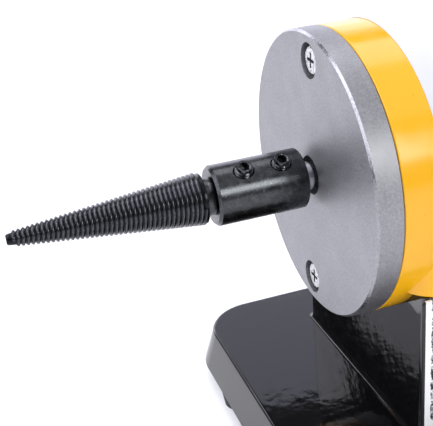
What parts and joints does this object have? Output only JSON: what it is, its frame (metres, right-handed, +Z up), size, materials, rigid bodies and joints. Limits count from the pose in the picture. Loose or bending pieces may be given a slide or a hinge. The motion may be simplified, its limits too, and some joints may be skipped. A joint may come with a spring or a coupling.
{
  "type": "dental polishing lathe",
  "caption": "Bench polishing lathe: a yellow tube motor with aluminium end caps on a black cast base, with a tapered screw spindle at each end, a rocker switch and a speed knob.",
  "frame": {"origin": "on the bench, in the middle of the four feet, straight under the middle of the motor", "axes": "+X along the motor and its spindles to the right, -Y towards the front panel, +Z up"},
  "size_m": [0.3728, 0.1434, 0.1553],
  "materials": {
    "black_enamel": "glossy black enamel on a casting",
    "zinc_plate": "zinc plated sheet",
    "zinc_screws": "zinc plated",
    "rubber_feet": "matt moulded rubber",
    "panel_vinyl": "printed vinyl, black with a fine pale speckle",
    "switch_nylon": "moulded",
    "rocker_plastic": "polished moulding",
    "potentiometer_metal": "pressed and plated",
    "nickel_plate": "nickel plated",
    "knob_plastic": "moulded, fine satin",
    "glass_epoxy": "green solder mask",
    "brass": "turned",
    "raw_aluminium": "extruded",
    "epoxy_black": "moulded epoxy",
    "capacitor_sleeve": "shrunk sleeve",
    "copper_winding": "varnished copper wire",
    "terminal_plastic": "moulded",
    "gland_nylon": "moulded nylon",
    "seal_rubber": "moulded",
    "yellow_enamel": "glossy yellow enamel on steel tube",
    "label_vinyl": "plain white vinyl",
    "turned_aluminium": "bead-blasted face, turned rim",
    "ferrite": "sintered ferrite",
    "bearing_steel": "ground",
    "pressed_steel": "pressed",
    "brush_bakelite": "moulded phenolic",
    "spring_steel": "drawn wire",
    "carbon": "pressed carbon",
    "lead_sleeve": "PVC insulation",
    "ground_steel": "ground steel",
    "lamination_steel": "stacked laminations",
    "commutator_copper": "turned copper bars",
    "black_oxide_steel": "black oxide on turned steel",
    "black_setscrews": "black oxide alloy steel"
  },
  "bodies": {
    "stand": {"base_casting": "black_enamel", "bottom_cover": "zinc_plate", "cover_screws": "zinc_screws", "rubber_feet": "rubber_feet", "foot_screws": "zinc_screws", "front_panel": "panel_vinyl", "switch_housing": "switch_nylon", "potentiometer": "potentiometer_metal", "potentiometer_nut": "nickel_plate", "circuit_board": "glass_epoxy", "board_standoffs": "brass", "board_screws": "zinc_screws", "heat_sink": "raw_aluminium", "thyristor": "epoxy_black", "bridge_rectifier": "epoxy_black", "filter_capacitor": "capacitor_sleeve", "suppression_choke": "copper_winding", "terminal_block": "terminal_plastic", "cable_gland": "gland_nylon", "gland_nut": "gland_nylon", "gland_seal": "seal_rubber", "gland_locknut": "gland_nylon", "motor_tube": "yellow_enamel", "motor_label": "label_vinyl", "end_cap_left": "turned_aluminium", "end_cap_right": "turned_aluminium", "through_bolts": "zinc_screws", "through_bolt_nuts": "zinc_screws", "mount_screws": "zinc_screws", "magnet_front": "ferrite", "magnet_rear": "ferrite", "bearing_outer_left": "bearing_steel", "bearing_outer_right": "bearing_steel", "bearing_balls": "bearing_steel", "bearing_cages": "pressed_steel", "wave_washer": "pressed_steel", "brush_holder_front": "brush_bakelite", "brush_holder_rear": "brush_bakelite", "brush_cap_front": "brush_bakelite", "brush_cap_rear": "brush_bakelite", "brush_spring_front": "spring_steel", "brush_spring_rear": "spring_steel", "lead_grommets": "seal_rubber", "motor_leads": "lead_sleeve"},
    "rotor": {"motor_shaft": "ground_steel", "armature_core": "lamination_steel", "armature_windings": "copper_winding", "commutator": "commutator_copper", "bearing_inner_left": "bearing_steel", "bearing_inner_right": "bearing_steel", "spindle_left": "black_oxide_steel", "spindle_right": "black_oxide_steel", "setscrews_left": "black_setscrews", "setscrews_right": "black_setscrews"},
    "knob": {"speed_knob": "knob_plastic", "potentiometer_shaft": "nickel_plate"},
    "rocker": {"switch_rocker": "rocker_plastic"},
    "carbon_front": {"brush_front": "carbon"},
    "carbon_rear": {"brush_rear": "carbon"}
  },
  "joints": [
    {"name": "rotor_spin", "type": "hinge", "parent": "stand", "child": "rotor", "pos_m": [0, 0, 0.106], "axis": [1, 0, 0], "continuous": true},
    {"name": "speed_turn", "type": "hinge", "parent": "stand", "child": "knob", "pos_m": [0.018, -0.05, 0.05], "axis": [0, 1, 0], "range_deg": [0, 280]},
    {"name": "power_rock", "type": "hinge", "parent": "stand", "child": "rocker", "pos_m": [-0.038, -0.0455, 0.05], "axis": [-1, 0, 0], "range_deg": [0, 22]},
    {"name": "brush_front_slide", "type": "slide", "parent": "stand", "child": "carbon_front", "axis": [0, -1, 0], "range_m": [0, 0.002], "stiffness_N_per_m": 200, "springref_m": -0.01, "deforming": ["brush_spring_front"]},
    {"name": "brush_rear_slide", "type": "slide", "parent": "stand", "child": "carbon_rear", "axis": [0, 1, 0], "range_m": [0, 0.002], "stiffness_N_per_m": 200, "springref_m": -0.01, "deforming": ["brush_spring_rear"]}
  ]
}
